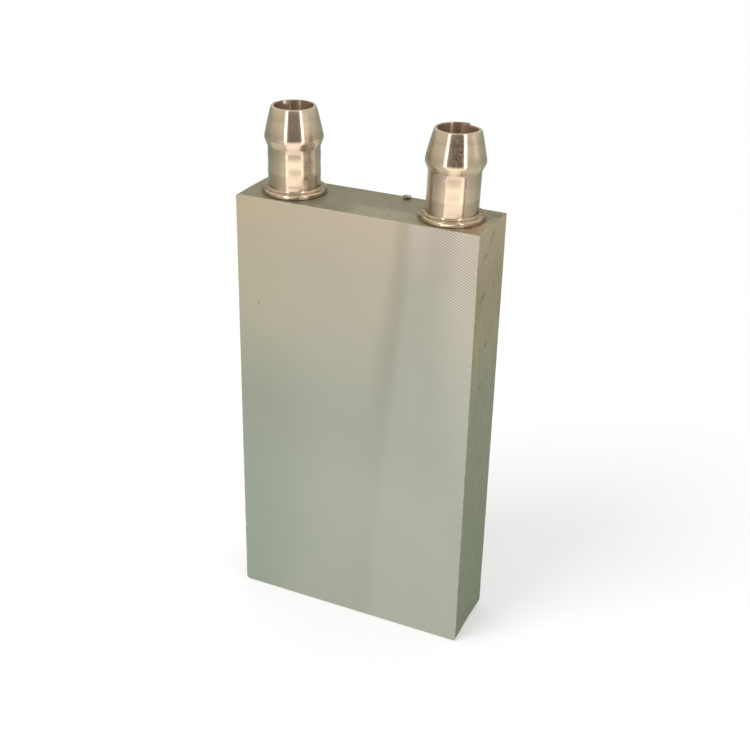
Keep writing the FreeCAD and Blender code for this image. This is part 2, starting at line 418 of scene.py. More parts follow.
# Four columns of tones, each from top to bottom, and the shares of the height where they change.
# A slanted line is its shift to the right from bottom to top, then its place at the bottom, in mm.
# The tones are painted reflection: warm above, greener and darker below, least so on the outer part.
coldFace = {
    "left": ((198, 184, 158), (189, 182, 157), (157, 160, 145), (154, 163, 147)),
    "middle": ((192, 179, 155), (183, 176, 157), (166, 168, 155), (171, 174, 160)),
    "inner": ((190, 179, 164), (173, 171, 156), (170, 172, 160), (175, 177, 164)),
    "outer": ((193, 181, 165), (189, 183, 166), (178, 178, 166), (175, 174, 162)),
    "stops": (0.84, 0.5, 0.3), "outerStops": (0.84, 0.53, 0.3),
    "meetingLine": (5.6, 3.25), "brightLine": (-7.5, 21.5), "cornerLine": (-25.5, 36.1),
    "steepArcs": {"Middle": -0.0155, "Radius": 0.08, "Pitch": 0.000454},
    "gentleArcs": {"Middle": 0.004, "Radius": 0.08, "Pitch": 0.00042},
    "lineContrast": 0.5, "mottle": 0.05,
    "scratch": ((-0.0171, -0.006, 0.0572), (-0.0172, -0.006, 0.0563), 0.00016),
    "scratchCoat": (0.35, (92, 84, 66)), "scratchDepth": 3.0,
    "edgeCoat": (0.35, (206, 197, 178)), "edgeWidth": 0.00028,
    "roughness": 0.34, "lineDepth": 0.000004,
}


def toneUp(up, tones, stops):
    inputs = dict(zip(("Top", "Upper", "Middle", "Bottom"), (colour(*tone) for tone in tones)))
    inputs.update(zip(("Upper At", "Middle At", "Bottom At"), stops))
    return place(toneColumn, {"Up": up, **inputs})["Color"]


def wornEdges(point, low, high, width):
    return place(edgeWear, {"Vector": point, "Low": tuple(low), "High": tuple(high), "Width": width})


def makeColdFaceMaterial(values):
    material, tree, point = newMaterial("flyCutAluminium")
    axes = split(point)
    up, across = axes[2] / blockSize.z, axes[0] / mm
    left, middle, inner = (toneUp(up, values[name], values["stops"]) for name in ("left", "middle", "inner"))
    outer = toneUp(up, values["outer"], values["outerStops"])

    def beyond(line):
        # millimetres to the right of a slanted line
        return across - (up * line[0] + line[1])

    # the cutter made two passes that meet on a slightly slanted line
    past, bright = beyond(values["meetingLine"]), beyond(values["brightLine"])
    # painted reflection: the columns' tones blended across the face
    tone = mixColour(slide(across, -20.0, slide(up, 0.02, 0.15, -8.0, -1.0)), left, middle)
    tone = mixColour(slide(past, -0.8, 1.6), tone, inner)
    tone = mixColour(slide(bright, -3.5, 4.0), tone, outer)
    # a darker band before the meeting line, and a darker patch near the upper outer corner
    darkerBand = slide(past, slide(up, 0.6, 0.95, -4.8, -2.4), -0.2) * fall(past, 0.0, 2.1)
    darkerBand *= slide(up, 0.45, 0.74, 0.02, 0.15)
    darkerPatch = slide(across, 11.5, 14.0) * fall(across, 15.5, 18.5) * slide(up, 0.84, 0.9, 0.0, 0.08)
    # the steep lines of the second pass, strong near the upper outer corner, and the gentle first pass
    steep, gentle = (place(millArcs, {"Vector": point, **values[key]}) for key in ("steepArcs", "gentleArcs"))
    corner = maths("MINIMUM", bright, beyond(values["cornerLine"]))
    strong = slide(corner, -2.5, 1.5) * slide(up, 0.45, 0.82)
    faint = slide(past, 0.0, 1.0) * slide(up, 0.45, 0.8, 0.04, 0.12)
    secondPass = maths("MAXIMUM", strong, faint)
    firstPass = fall(past, -1.5, 0.0) * slide(up, 0.3, 0.75, 0.03, 0.07)
    lines = (steep["Line"] - 0.5) * secondPass + (gentle["Line"] - 0.5) * firstPass
    haze, speck = cloud(point, 190.0), cloud(point, 5200.0, 2.0)
    light = (lines * values["lineContrast"] + 1.0) * (1.0 - (darkerBand + darkerPatch))
    light *= spread(haze, values["mottle"]) * spread(speck, values["mottle"])
    scratched = markMask(point, *values["scratch"])
    worn = wornEdges(point, blockLow, blockHigh, values["edgeWidth"])["Mask"]
    tone = shade(tone, light)
    tone = layOver(tone, scratched, values["scratchCoat"])
    tone = layOver(tone, worn, values["edgeCoat"])
    height = steep["Height"] * secondPass + gentle["Height"] * firstPass - scratched * values["scratchDepth"]
    showMetal(tree, tone, spread(speck, 0.1, values["roughness"]), height, values["lineDepth"])
    return material


rawSides = {
    # painted reflection down the sides, top to bottom: warm above, greener and darker below
    "sideTones": ((200, 180, 152), (176, 163, 132), (146, 150, 128), (136, 145, 122)),
    "stops": (0.85, 0.55, 0.15),
    # the top's tones are painted shade, with painted light between the fittings and at the outer corner
    "topTone": (150, 145, 121), "topLight": (170, 162, 138), "cornerTone": (186, 166, 136),
    "skinScale": 1300.0, "pitScale": 620.0, "pitTone": (98, 90, 66), "knockCoat": (0.45, (98, 90, 66)),
    "stainCoat": (0.4, (200, 174, 150)), "smudgeCoat": (0.3, (98, 90, 66)), "smudgeDrift": 0.0022,
    "streakCoat": (0.5, (178, 172, 150)), "edgeCoat": (0.1, (186, 178, 156)), "edgeWidth": 0.0005,
    "roughness": 0.48, "metallic": 0.75, "skinDepth": 0.00005,
}

# light rub marks on the side and the top, from and to in metres, then width
sideStreaks = (
    ((0.021, -0.0045, 0.0605), (0.021, -0.0041, 0.0535), 0.0003),
    ((0.021, -0.0034, 0.0575), (0.021, -0.0036, 0.0485), 0.00024),
    ((0.021, -0.0052, 0.0452), (0.021, -0.005, 0.0415), 0.0002),
    ((0.021, 0.0002, 0.0665), (0.021, 0.001, 0.0632), 0.00026),
    ((0.0199, 0.0002, 0.075), (0.0206, 0.0026, 0.075), 0.00045),
)

# a painted warm reflection beside the inlet, as above
topPaintedReflection = ((-0.0092, -0.0055, 0.075), (-0.0062, -0.0049, 0.075), 0.0009)

# soft dark smudges, as above
sideSmudges = (
    ((0.021, -0.0034, 0.0636), (0.021, -0.0024, 0.0642), 0.0009),
    ((0.021, -0.0004, 0.0549), (0.021, 0.0002, 0.0552), 0.0006),
    ((0.021, -0.0019, 0.048), (0.021, -0.0012, 0.0483), 0.0006),
    ((0.021, -0.0007, 0.0722), (0.021, 0.0004, 0.0735), 0.0009),
    ((0.021, -0.003, 0.0703), (0.021, -0.0022, 0.0707), 0.0007),
    ((0.0205, 0.0042, 0.075), (0.0196, 0.0036, 0.075), 0.0006),
)

# small knocks in the block: place, reach and depth in mm
knocks = (
    ((21, -3, 63.9), 0.5, 0.06), ((21, -0.1, 55.1), 0.4, 0.06), ((21, -1.5, 48.1), 0.4, 0.06),
    ((21, 1, 38.9), 0.4, 0.06), ((21, 1.5, 74.8), 0.45, 0.08), ((21, 4.6, 71.5), 0.7, 0.06),
    ((-4.9, 1.5, 75), 0.45, 0.14), ((-0.85, -0.7, 75), 0.35, 0.1), ((5.1, -3.7, 75), 0.42, 0.16),
    ((9, -3.2, 75), 0.35, 0.1), ((-11.8, -6, 75), 0.3, 0.06), ((3, -6, 75), 0.3, 0.06),
    ((-21, 2, 52), 0.6, 0.14), ((-21, -2.4, 21), 0.5, 0.12), ((-8, 2.5, 0), 0.6, 0.14),
    ((12, -1.5, 0), 0.5, 0.12), ((21, -6, 33), 0.35, 0.1), ((-21, -6, 12), 0.4, 0.12),
)


def knockDepth(point):
    deep = 0.0
    for spot, reach, depth in knocks:
        gap = (point - Vector(spot)).length
        if gap < reach:
            deep = max(deep, depth * fade(gap, reach, 0.15 * reach))
    return deep


def makeRawMaterial(values):
    material, tree, point = newMaterial("rawAluminium")
    axes = split(point)
    upward = slide(split(put(tree, "NewGeometry")["Normal"])[2], 0.5, 0.9)
    # painted reflection down the sides: warm above, greener below
    tone = toneUp(axes[2] / blockSize.z, values["sideTones"], values["stops"])
    # the top: painted in darker tones than the sides as shade, with painted light between the fittings and at
    # the outer corner
    across = (cloud(point, 500.0) * 0.003 + axes[0]) / mm
    depth = (cloud(point, 600.0) * 0.002 + axes[1]) / mm
    paintedSheen = slide(across, -1.0, 2.0) * fall(depth, -1.4, 0.6)
    crown = mixColour(paintedSheen, values["topTone"], values["topLight"])
    crown = mixColour(slide(across, 16.0, 20.0) * fall(depth, 0.0, 2.5), crown, values["cornerTone"])
    tone = mixColour(upward, tone, crown)
    # grain from broad to fine
    skin = place(rawSkin, {"Vector": point, "Scale": values["skinScale"], "Pit Scale": values["pitScale"]})
    streaks = cloud(point, 260.0, stretch=(1.0, 1.0, 0.12))
    fibres = cloud(point, 950.0, 4.0, stretch=(1.0, 1.0, 0.3))
    tone = shade(tone, spread(skin["Tone"], 0.34) * spread(streaks, 0.16) * spread(fibres, 0.3)
                 * spread(cloud(point, 2400.0), 0.3))
    # pits, knocks, a painted warm reflection, smudges and rub marks
    tone = mixColour(skin["Pits"] * (upward * 0.3 + 0.15), tone, values["pitTone"])
    tone = layOver(tone, slide(pointLabel(tree, "knock"), 0.15, 0.9), values["knockCoat"])
    tone = layOver(tone, markMask(point, *topPaintedReflection), values["stainCoat"])
    drift = join("TexNoise", {"Vector": point, "Scale": 1100.0, "Detail": 3.0})["Color"]
    drift = vectorMaths("SUBTRACT", drift, (0.5, 0.5, 0.5))
    drift = vectorMaths("MULTIPLY", drift, (0.0, values["smudgeDrift"], values["smudgeDrift"]))
    ragged = vectorMaths("ADD", point, drift)
    for smudge in sideSmudges:
        tone = layOver(tone, markMask(ragged, *smudge), values["smudgeCoat"])
    for streak in sideStreaks:
        tone = layOver(tone, markMask(point, *streak), values["streakCoat"])
    worn = wornEdges(point, blockLow, blockHigh, values["edgeWidth"])["Mask"]
    tone = layOver(tone, worn, values["edgeCoat"])
    roughness = spread(skin["Tone"], 0.2, values["roughness"])
    showMetal(tree, tone, roughness, skin["Height"], values["skinDepth"], {
        "Metallic": values["metallic"], "Specular Tint": (0.6, 0.6, 0.55, 1.0)})
    return material


def roundedOutline(halfWidth, low, high, radii, step):
    # Points round an upright rectangle, with their outward directions, in mm. The radii are lower right,
    # upper right, upper left and lower left. Their size doesn't change the number of points.
    turnSteps, points = 6, []
    sides = ((1, -1, -90), (1, 1, 0), (-1, 1, 90), (-1, -1, 180))

    def onTurn(index, share):
        # a point of one corner's turn, and its outward direction
        (sideX, sideZ, start), radius = sides[index], radii[index]
        hubZ = (high - radius) if sideZ > 0 else (low + radius)
        angle = math.radians(start + 90 * share)
        across, up = math.cos(angle), math.sin(angle)
        return sideX * (halfWidth - radius) + radius * across, hubZ + radius * up, across, up

    for index in range(4):
        points += [onTurn(index, k / turnSteps) for k in range(turnSteps + 1)]
        fromX, fromZ = points[-1][:2]
        endX, endZ, outX, outZ = onTurn((index + 1) % 4, 0)
        count = round((high - low if index in (0, 2) else 2 * halfWidth) / step)
        for k in range(1, count):
            share = k / count
            points.append((fromX + (endX - fromX) * share, fromZ + (endZ - fromZ) * share, outX, outZ))
    return points


# sizes in mm: front and back corner radii start lower right and go anticlockwise
blockSkin = {
    "step": 0.26, "frontRadii": (0.6, 0.1, 0.5, 0.6), "backRadii": (1.4, 0.2, 0.12, 0.8),
    "backRadius": 0.12, "frontBreak": 0.05,
    "frontInsets": (0.7, 0.35), "backInsets": ((0.9, 0.4), (1.4, 0.0)),
    "wave": 0.05, "waveLength": 6.0, "grain": 0.014, "grainLength": 0.8, "deepestKnock": 0.12,
}


def shellRows(values, halfDepth):
    # from front to back: y, how far the outline is drawn in, how much of the unevenness applies
    front, edge, rounding = -halfDepth, values["frontBreak"], values["backRadius"]
    start, end = front + 0.4, halfDepth - rounding
    count = round((end - start) / values["step"])
    rows = [(front, inset, 0.0) for inset in values["frontInsets"]]
    rows += [(front, edge, 0.25), (front + edge, 0.0, 0.4), (front + 0.16, 0.0, 0.6)]
    rows += [(start + (end - start) * k / count, 0.0, 1.0) for k in range(count + 1)]
    for k in range(1, 6):
        angle = math.radians(18 * k)
        rows.append((end + rounding * math.sin(angle), rounding * (1 - math.cos(angle)), 1.0))
    return rows + [(halfDepth, inset, share) for inset, share in values["backInsets"]]


def makeBlockShell(values):
    halfWidth, halfDepth = blockSize.x / 2 / mm, blockSize.y / 2 / mm
    low, high = blockLow.z / mm, blockHigh.z / mm
    halfHeight, midHeight = (high - low) / 2, (low + high) / 2
    rows = shellRows(values, halfDepth)
    vertices = []
    for y, inset, share in rows:
        depth = fade(y, -halfDepth, halfDepth * 0.3)
        radii = [front + (back - front) * depth
                 for front, back in zip(values["frontRadii"], values["backRadii"])]
        outline = roundedOutline(halfWidth, low, high, radii, values["step"])
        for x, z, outX, outZ in outline:
            spot = Vector((x, y, z))
            deep = share * (values["wave"] * (0.5 + 0.5 * ripple(spot, values["waveLength"]))
                            + values["grain"] * (0.5 + ripple(spot, values["grainLength"])))
            deep = max(0.0, deep) + (knockDepth(spot) if share else 0.0)
            px, pz = x - outX * deep, z - outZ * deep
            if inset:
                px *= (halfWidth - inset) / halfWidth
                pz = midHeight + (pz - midHeight) * (halfHeight - inset) / halfHeight
            vertices.append((px * mm, y * mm, pz * mm))
    size, total = len(outline), len(vertices)
    faces = tubeFaces(len(rows), size, closed=False)
    faces += [tuple(reversed(range(size))), tuple(range(total - size, total))]
    return newPiece("blockShell", vertices, faces, [])


def grownTray():
    # the tray from the CAD frame, with its outside pushed out so that only its hollows cut
    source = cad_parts["base_tray"].data
    middle, half, rim, push = (blockLow + blockHigh) / 2, blockSize / 2, 0.00055, 0.001
    vertices = []
    for vertex in source.vertices:
        grown = [part + math.copysign(push, part) if abs(part) > half[axis] - rim else part
                 for axis, part in enumerate(vertex.co - middle)]
        vertices.append(tuple(Vector(grown) + middle))

    def weld(work):
        bmesh.ops.remove_doubles(work, verts=work.verts, dist=1e-7)
        faceOutward(work)

    tray = newPiece("grownTray", vertices, [tuple(face.vertices) for face in source.polygons], [])
    rework(tray.data, weld)
    return tray


def splitLargeFaces(work):
    # many-sided faces left by the cut, as triangles that don't fold on themselves
    bmesh.ops.triangulate(work, faces=[face for face in work.faces if len(face.verts) > 4])


def makeBlock(values):
    shell, tray = makeBlockShell(values), grownTray()
    rework(shell.data, faceOutward)
    cut = shell.modifiers.new("hollows", "BOOLEAN")
    cut.operation, cut.solver, cut.object = "INTERSECT", "EXACT", tray
    bpy.context.view_layer.update()
    mesh = bpy.data.meshes.new_from_object(shell.evaluated_get(bpy.context.evaluated_depsgraph_get()))
    bpy.data.objects.remove(shell)
    bpy.data.objects.remove(tray)
    mesh.name = "blockBody"
    rework(mesh, splitLargeFaces)
    mesh.materials.clear()
    mesh.materials.append(makeColdFaceMaterial(coldFace))
    mesh.materials.append(makeRawMaterial(rawSides))
    for face in mesh.polygons:
        face.material_index = 0 if face.normal.y < -0.9 and face.center.y < blockLow.y + 0.0001 else 1
    block = addObject("blockBody", mesh)
    smoothPiece(block, 38)
    labelPoints(block, "knock", [min(1.0, knockDepth(point.co / mm) / values["deepestKnock"])
                                 for point in mesh.vertices])
    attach(block, "root")
    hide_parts("base_tray")


makeBlock(blockSkin)
print("block built")

# the lid and its brazed seam

lidFinish = {
    "tone": (176, 172, 158), "lightTone": (196, 192, 178), "heatTone": (150, 136, 110), "heatReach": 0.0035,
    "edgeWidth": 0.0003,
    "scratches": (((-0.011, 0.006, 0.051), (0.004, 0.006, 0.058)),
                  ((0.002, 0.006, 0.024), (0.013, 0.006, 0.0205)),
                  ((-0.006, 0.006, 0.037), (-0.0035, 0.006, 0.0315))),
    "scratchWidth": 0.00009, "scratchCoat": (0.5, (222, 218, 206)),
    "roughness": 0.4, "depth": 0.00003,
}


def dressLid(values):
    low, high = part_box("cover_plate")
    material, tree, point = newMaterial("rolledAluminium")
    rolled = cloud(point, 900.0, 4.0, stretch=(1.0, 1.0, 0.03))
    patches = cloud(point, 70.0)
    tone = mixColour(slide(patches, 0.35, 0.65), values["tone"], values["lightTone"])
    tone = shade(tone, spread(rolled, 0.3))
    fromEdge = wornEdges(point, low, high, values["edgeWidth"])["Distance"]
    heat = slide(fromEdge, 0.0, values["heatReach"], 0.5, 0.0)
    tone = layOver(tone, heat, (slide(patches, 0.3, 0.7, 0.4, 1.0), values["heatTone"]))
    for start, end in values["scratches"]:
        tone = layOver(tone, markMask(point, start, end, values["scratchWidth"]), values["scratchCoat"])
    showMetal(tree, tone, spread(rolled, 0.18, values["roughness"]), rolled, values["depth"])
    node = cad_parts["cover_plate"]
    node.data.materials.clear()
    node.data.materials.append(material)


dressLid(lidFinish)

# sizes in mm; the section is (share of the half width, share of the rise or the depth)
seamShape = {
    "step": 0.16, "width": 0.34, "depth": 0.16, "rise": 0.05, "inset": 0.1, "corner": 3.1, "below": 0.06,
    "section": ((-1.0, -1.0), (-1.0, 0.0), (-0.6, 0.62), (-0.2, 0.95), (0.2, 1.0), (0.6, 0.66),
                (1.0, 0.0), (1.0, -1.0)),
    "lumps": (1500.0, 4.0, 0.00005), "tones": ((104, 94, 74), (164, 156, 134)), "toneRange": (0.3, 0.66),
    "roughness": (0.3, 0.4), "metallic": 1.0,
}


def makeLumpyMaterial(name, values):
    # lumps are cells per metre, fineness and depth; roughness is its spread and its middle
    material, tree, point = newMaterial(name)
    scale, detail, depth = values["lumps"]
    lumps = cloud(point, scale, detail)
    tone = mixColour(slide(lumps, *values["toneRange"]), *values["tones"])
    if "smearTone" in values:
        tone = mixColour(pointLabel(tree, "smear"), tone, values["smearTone"])
    showMetal(tree, tone, spread(lumps, *values["roughness"]), lumps, depth,
              {"Metallic": values["metallic"], "Coat Weight": values.get("coat", 0.0)})
    return material


def makeSeam(values):
    low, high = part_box("braze_seam")
    material = makeLumpyMaterial("brazeFiller", values)
    inset, top = values["inset"], high.y / mm - values["below"]
    path = roundedOutline(high.x / mm - inset, low.z / mm + inset, high.z / mm - inset,
                          (values["corner"],) * 4, values["step"])
    vertices = []
    for x, z, outX, outZ in path:
        spot = Vector((x, 0, z))
        half = values["width"] / 2 * (1.0 + 0.35 * ripple(spot, 1.3))
        rise = values["rise"] * (1.0 + 0.5 * ripple(spot + Vector((0, 9, 0)), 0.9))
        for side, lift in values["section"]:
            y = min(top + (rise * lift if lift > 0 else values["depth"] * lift), high.y / mm)
            vertices.append(((x + outX * half * side) * mm, y * mm, (z + outZ * half * side) * mm))
    seam = newSolid("brazeSeam", vertices, tubeFaces(len(path), len(values["section"])), material, 70)
    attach(seam, "root")
    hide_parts("braze_seam")


makeSeam(seamShape)
print("lid and seam built")

# the hose fittings

viewTurn = math.radians(cameraView["azimuth"] - 90)  # direction towards the viewer, round the upright axis

# in mm: radii, heights above the block, edge radii in the profile's order, and the burrs on the mouths
fittingShape = {
    "bore": 3.15, "shank": 3.7, "flange": 5.32, "barb": 4.73, "tip": 3.6,
    "seat": 0.03, "flangeTop": 0.74, "neckTop": 7.58, "barbLow": 8.84, "barbHigh": 9.24,
    "edges": (0.08, 0.2, 0, 0.05, 0.2, 0.3, 0.7, 0.4, 0.5, 0.2, 0.12),
    "coneSwell": 0.05, "waveMiddle": 5.4, "waveLength": 2.6,
    "stepDepth": 0.28, "nickDepth": 0.22, "nickPush": 0.12, "nickTurn": 0.12,
    "segments": 224, "profileStep": 0.13,
}
fittingFinish = {
    "tone": (184, 169, 141), "warmTone": (187, 166, 143), "grimeCoat": (0.4, (120, 98, 72)),
    "boreTone": (206, 180, 150), "gleamTone": (250, 240, 224), "chipTone": (250, 244, 230),
    "roughness": 0.2, "boreRoughness": 0.3, "anisotropic": 0.75, "metallic": 0.88, "markDepth": 0.0000025,
}


def roundedProfile(points, radii, step):
    # a closed run of (radius, height) points, its corners rounded, divided into short steps
    runs = []
    count = len(points)
    for k in range(count):
        before, here, after = (Vector(points[(k + j) % count]) for j in (-1, 0, 1))
        radius = radii[k]
        if radius == 0:
            runs.append([here])
            continue
        inward, outward = (before - here).normalized(), (after - here).normalized()
        half = inward.angle(outward) / 2
        reach = radius / math.tan(half)
        hub = here + (inward + outward).normalized() * (radius / math.sin(half))
        start, end = here + inward * reach - hub, here + outward * reach - hub
        sweep = math.pi - 2 * half
        steps = max(3, math.ceil(sweep / math.radians(14)))
        arc = []
        for j in range(steps + 1):
            share = j / steps
            mixed = start * math.sin((1 - share) * sweep) + end * math.sin(share * sweep)
            arc.append(hub + mixed / math.sin(sweep))
        runs.append(arc)
    line = []
    for k in range(count):
        line += runs[k]
        gap = runs[(k + 1) % count][0] - line[-1]
        parts = max(1, round(gap.length / step))
        line += [line[-1] + gap * (j / parts) for j in range(1, parts)]
    return line


def makeFittingMaterial(values):
    material, tree, point = newMaterial("turnedBrassNickel")
    inside, paintedDarkReflection, paintedShade, gleam, chipGlint = (
        pointLabel(tree, name) for name in ("inside", "paintedDarkReflection", "paintedShade", "gleam", "chipGlint"))
    marks = place(turnMarks, {"Vector": point, "Scale": 5200.0, "Band Scale": 430.0})
    tone = mixColour(slide(cloud(point, 260.0), 0.35, 0.7), values["tone"], values["warmTone"])
    light = marks["Tone"] * 0.22 + 0.79 + marks["Bands"] * 0.2
    # speckled painted dark reflection, laid on the cone's side towards the viewer
    spots = slide(cloud(point, 2700.0, 4.0), 0.3, 0.7, -0.58, 0.1)
    tone = shade(tone, light * spread(cloud(point, 3600.0, 2.0), 0.14) * (spots * paintedDarkReflection + 1.0))
    tone = mixColour(inside, tone, values["boreTone"])
    tone = mixColour(gleam, tone, values["gleamTone"])
    # painted shade in the neck's root, under the flange, on the mouth's far side and behind the neck, broken
    # up by noise
    paintedShadeMask = paintedShade * slide(cloud(point, 1200.0), 0.3, 0.7, 0.4, 1.0)
    tone = layOver(tone, paintedShadeMask, values["grimeCoat"])
    # the nick in the mouth takes a painted near-white glint
    tone = mixColour(chipGlint, tone, values["chipTone"])
    rough = spread(marks["Tone"], 0.08, values["roughness"])
    rough += inside * (values["boreRoughness"] - values["roughness"])
    showMetal(tree, tone, rough, marks["Height"], values["markDepth"], {
        "Metallic": values["metallic"], "Specular Tint": (0.8, 0.8, 0.75, 1.0),
        "Anisotropic": values["anisotropic"], "Anisotropic Rotation": 0.25,
        "Tangent": put(tree, "Tangent", direction_type="RADIAL", axis="Z")[0]})
    return material


fittingMetal = makeFittingMaterial(fittingFinish)


def facing(angle):
    return Vector((math.cos(angle), math.sin(angle), 0))


def turnGap(first, second):
    return math.remainder(first - second, 2 * math.pi)


def makeFitting(name, node, own):
    shape, neck = fittingShape, own["neck"]
    low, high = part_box(node)
    axisX, axisY = (low.x + high.x) / 2 / mm, (low.y + high.y) / 2 / mm
    foot, tipTop, seat = low.z / mm, high.z / mm, blockHigh.z / mm
    under, outer, neckTop, barbLow, barbHigh = (
        seat + shape[key] for key in ("seat", "flangeTop", "neckTop", "barbLow", "barbHigh"))
    corners = (
        (shape["bore"], foot), (shape["shank"], foot), (shape["shank"], under), (shape["flange"], under),
        (shape["flange"], outer), (neck, outer), (neck, neckTop), (shape["barb"], barbLow),
        (shape["barb"], barbHigh), (shape["tip"], tipTop), (shape["bore"], tipTop))
    line = roundedProfile(corners, shape["edges"], shape["profileStep"])
    spin = shape["segments"]
    angles = [2 * math.pi * k / spin for k in range(spin)]
    stepAngle = viewTurn + math.pi + math.radians(-own["step"])
    nickAngle = viewTurn + math.pi + math.radians(own["nick"])
    neckLow, lean = outer + 0.5, math.tan(math.radians(own["lean"]))
    across = facing(viewTurn + math.pi / 2)

    def turned(angle, outward, radius, height):
        # a point of the profile, with the small faults of the turning
        spot = Vector((radius * outward.x + 40 * low.x, radius * outward.y, height))
        push = 0.004 * ripple(spot, 3.0, 2)
        if radius > neck - 0.1 and neckLow < height < neckTop:
            share = fade(height, neckLow, neckLow + 0.6) * fade(height, neckTop - 0.1, neckTop - 0.6)
            turn = 2 * math.pi * (height - seat - shape["waveMiddle"]) / shape["waveLength"]
            push += share * own["wave"] * math.sin(turn + 0.35 * ripple(spot, 4.0, 1))
        if radius > shape["tip"] - 0.3 and height > barbHigh:
            push += shape["coneSwell"] * math.sin(math.pi * (height - barbHigh) / (tipTop - barbHigh))
        if height > tipTop - 0.6:
            near = fade(height, tipTop - 0.6, tipTop - 0.1)
            if own["step"]:
                gap = turnGap(stepAngle, angle)
                height -= near * shape["stepDepth"] * fade(gap, 0.0, 0.08) * fade(gap, 1.4, 0.5)
            if own["nick"]:
                gap = abs(turnGap(nickAngle, angle))
                nicked = near * fade(radius, 3.5, 3.2) * fade(gap, shape["nickTurn"], 0.03)
                height -= shape["nickDepth"] * nicked
                push += shape["nickPush"] * nicked
            height -= near * 0.02 * (0.5 + 0.5 * ripple(Vector((outward.x, outward.y, 0)), 0.4, 2))
        return radius + push, height

    def labelled(angle, radius, height):
        # how far each of the material's labels applies at a point of the profile
        side = abs(turnGap(viewTurn, angle))
        inBore = radius < shape["bore"] + 0.05
        # painted shade: in the neck's root, under the flange's lip, on the far side of the mouth and on the
        # flange top behind the neck
        root = 0.4 * fade(math.hypot(radius - neck, height - outer), 0.9, 0.15)
        lip = fade(height, under + 0.2, under) * (radius > 5)
        back = 2.2 * fade(side, 1.5, 2.0) * fade(height, tipTop - 0.25, tipTop - 0.1)
        behind = 3.2 * fade(side, 0.7, 1.3) * (radius > neck + 0.1 and abs(height - outer) < 0.25)
        far = abs(math.pi - side - 0.26)
        onRim = neck + 0.25 < radius < shape["flange"] - 0.15 and outer - 0.05 < height < outer + 0.3
        # painted dark reflection on the cone's side towards the viewer, stronger lower on the cone
        cone = 0.55 + 0.45 * fade(height, tipTop - 1.2, barbHigh + 1.6)
        # a painted near-white glint on the nick in the mouth's rim
        nearNick = fade(abs(turnGap(nickAngle, angle)), shape["nickTurn"], 0.05)
        onNick = own["nick"] and radius < 3.4 and height > tipTop - 0.35
        return {
            "inside": 1.0 if radius < shape["bore"] + 0.1 and height < tipTop - 0.05 else 0.0,
            "paintedShade": max(root, lip, back, behind),
            "chipGlint": nearNick if onNick else 0.0,
            "paintedDarkReflection": own["mottle"] * cone * fade(side, 0.26, 0.16) * fade(height, barbLow, barbHigh),
            "gleam": max(0.8 * fade(side, 1.0, 0.5) * onRim, fade(far, 0.06, 0.02) * inBore)}

    vertices, labels = [], []
    for angle in angles:
        outward = facing(angle)
        for radius, height in line:
            labels.append(labelled(angle, radius, height))
            reach, height = turned(angle, outward, radius, height)
            base = Vector((axisX, axisY, 0)) + outward * reach + across * (max(0.0, height - seat) * lean)
            vertices.append((base.x * mm, base.y * mm, height * mm))
    fitting = newSolid(name, vertices, tubeFaces(spin, len(line)), fittingMetal, 50)
    for label in labels[0]:
        labelPoints(fitting, label, [levels[label] for levels in labels])
    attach(fitting, "root")
    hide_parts(node)
    return fitting


# neck radius and wave in mm, lean in degrees, the burrs' angles from the far side in degrees (0: none), and
# how much painted dark reflection the cone takes on its side towards the viewer
inletFitting = makeFitting("inletFitting", "inlet_barb", {
    "neck": 4.25, "wave": 0.02, "lean": -0.3, "step": 0, "nick": 31, "mottle": 0.4})
outletFitting = makeFitting("outletFitting", "outlet_barb", {
    "neck": 4.14, "wave": 0.008, "lean": 1.4, "step": 32, "nick": 0, "mottle": 1.1})
print("fittings turned")

# sealant pressed out under the flanges, and a drop of braze

# lip is a radius in mm, smearTurn an angle in degrees from the viewer
sealantFinish = {
    "lumps": (1400.0, 4.0, 0.00006), "tones": ((84, 56, 38), (74, 46, 30)), "toneRange": (0.35, 0.7),
    "smearTone": (98, 66, 48), "roughness": (0.3, 0.4), "metallic": 0.0, "coat": 0.3,
    "lip": 5.27, "smearTurn": 24.0, "segments": 360,
}
sealantPaint = makeLumpyMaterial("jointSealant", sealantFinish)


def makeSealant(name, node, smear):
    values = sealantFinish
    low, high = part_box(node)
    axisX, axisY = (low.x + high.x) / 2 / mm, (low.y + high.y) / 2 / mm
    bottom, top = blockHigh.z / mm, high.z / mm
    foot = bottom - 6.4
    spin, vertices, smeared = values["segments"], [], []
    smearAngle = viewTurn + math.radians(values["smearTurn"])
    for k in range(spin):
        angle = 2 * math.pi * k / spin
        outward = facing(angle)
        lip = values["lip"] + 0.05 * ripple(outward * 3 + Vector((axisX, 0, 0)), 0.55, 4)
        extra = fade(abs(turnGap(smearAngle, angle)), 0.22, 0.02) * smear
        section = (
            (3.72, foot), (3.72, bottom + 0.1), (4.6, top - 0.01), (5.0, top - 0.005), (lip, top - 0.01),
            (lip + 0.02 + 0.08 * extra, top - 0.05), (lip + 0.03 + 0.3 * extra, bottom + 0.05),
            (lip + 0.02 + 0.5 * extra, bottom + 0.01), (4.6, bottom - 0.02), (3.84, bottom - 0.05),
            (3.84, foot))
        for radius, height in section:
            x, y = axisX + radius * outward.x, axisY + radius * outward.y
            vertices.append((x * mm, y * mm, height * mm))
            smeared.append(extra)
    ring = newSolid(name, vertices, tubeFaces(spin, len(section)), sealantPaint, 60)
    labelPoints(ring, "smear", smeared)
    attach(ring, "root")
    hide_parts(node)


makeSealant("inletSealant", "inlet_sealant", 0.0)
makeSealant("outletSealant", "outlet_sealant", 1.0)

dropFinish = {
    "lumps": (2600.0, 3.0, 0.00008), "tones": ((104, 80, 60), (196, 176, 152)), "toneRange": (0.35, 0.6),
    "roughness": (0.25, 0.245), "metallic": 1.0,
}


